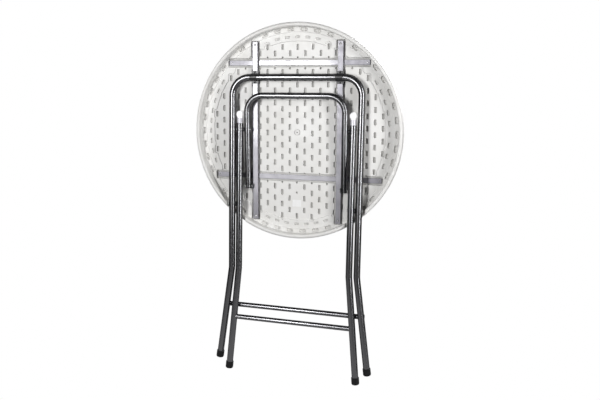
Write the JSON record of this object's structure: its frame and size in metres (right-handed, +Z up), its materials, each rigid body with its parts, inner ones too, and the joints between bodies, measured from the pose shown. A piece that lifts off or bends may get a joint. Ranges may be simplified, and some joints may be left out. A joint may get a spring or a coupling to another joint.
{
  "type": "folding table",
  "caption": "Round folding table with a ribbed-edge plastic top and crossing bent tube leg frames that fold flat under it.",
  "frame": {"origin": "centre of the bounding box's base, under the feet of the inner leg frame, with the table folded and stood upright", "axes": "+Z up along the folded legs, +Y out of the working surface, +X across the legs"},
  "size_m": [0.7999, 0.0944, 1.3409],
  "materials": {
    "top_plastic": "fine grained satin",
    "plug_plastic": "satin",
    "label": "smooth",
    "rail_steel": "gloss metallic grey",
    "tube_steel": "gloss metallic dark grey",
    "strap_steel": "gloss dark grey",
    "bracket_steel": "gloss dark grey",
    "fastener_steel": "bright zinc",
    "foot_rubber": "matte",
    "cap_plastic": "gloss",
    "spacer_plastic": "matte"
  },
  "bodies": {
    "top": {"table_top": "top_plastic", "centre_plug": "plug_plastic", "blank_label": "label", "rail_left": "rail_steel", "rail_right": "rail_steel", "cross_rail_upper": "rail_steel", "cross_rail_lower": "rail_steel", "rail_screws": "fastener_steel", "saddle_strap_left": "strap_steel", "saddle_strap_right": "strap_steel", "strap_rivets": "strap_steel", "link_bracket_left": "bracket_steel", "link_bracket_right": "bracket_steel", "link_pin_left": "fastener_steel", "link_pin_right": "fastener_steel"},
    "outer_frame": {"outer_leg_frame": "tube_steel", "outer_stretcher": "tube_steel", "outer_foot_left": "foot_rubber", "outer_foot_right": "foot_rubber", "crossing_pin_left": "fastener_steel", "crossing_pin_right": "fastener_steel", "crossing_spacer_left": "spacer_plastic", "crossing_spacer_right": "spacer_plastic"},
    "link": {"link_bow": "tube_steel"},
    "inner_frame": {"inner_leg_left": "tube_steel", "inner_leg_right": "tube_steel", "inner_stretcher": "tube_steel", "inner_foot_left": "foot_rubber", "inner_foot_right": "foot_rubber", "end_cap_left": "cap_plastic", "end_cap_right": "cap_plastic", "knee_pin_left": "fastener_steel", "knee_pin_right": "fastener_steel", "knee_spacer_left": "spacer_plastic", "knee_spacer_right": "spacer_plastic", "crossing_pin_end_left": "fastener_steel", "crossing_pin_end_right": "fastener_steel"}
  },
  "joints": [
    {"name": "outer_frame_fold", "type": "hinge", "parent": "top", "child": "outer_frame", "pos_m": [0, 0.01466, 1.14394], "axis": [-1, 0, 0], "range_deg": [0, 65.49]},
    {"name": "link_fold", "type": "hinge", "parent": "top", "child": "link", "pos_m": [0, 0.01816, 0.73194], "axis": [1, 0, 0], "range_deg": [0, 64.52]},
    {"name": "knee_fold", "type": "hinge", "parent": "link", "child": "inner_frame", "pos_m": [0, 0.01022, 0.94894], "axis": [-1, 0, 0], "range_deg": [0, 181.48]}
  ],
  "couplings": [
    {"joint": "link_fold", "follows": "outer_frame_fold", "ratio": 0.98511},
    {"joint": "knee_fold", "follows": "outer_frame_fold", "ratio": 2.771}
  ]
}
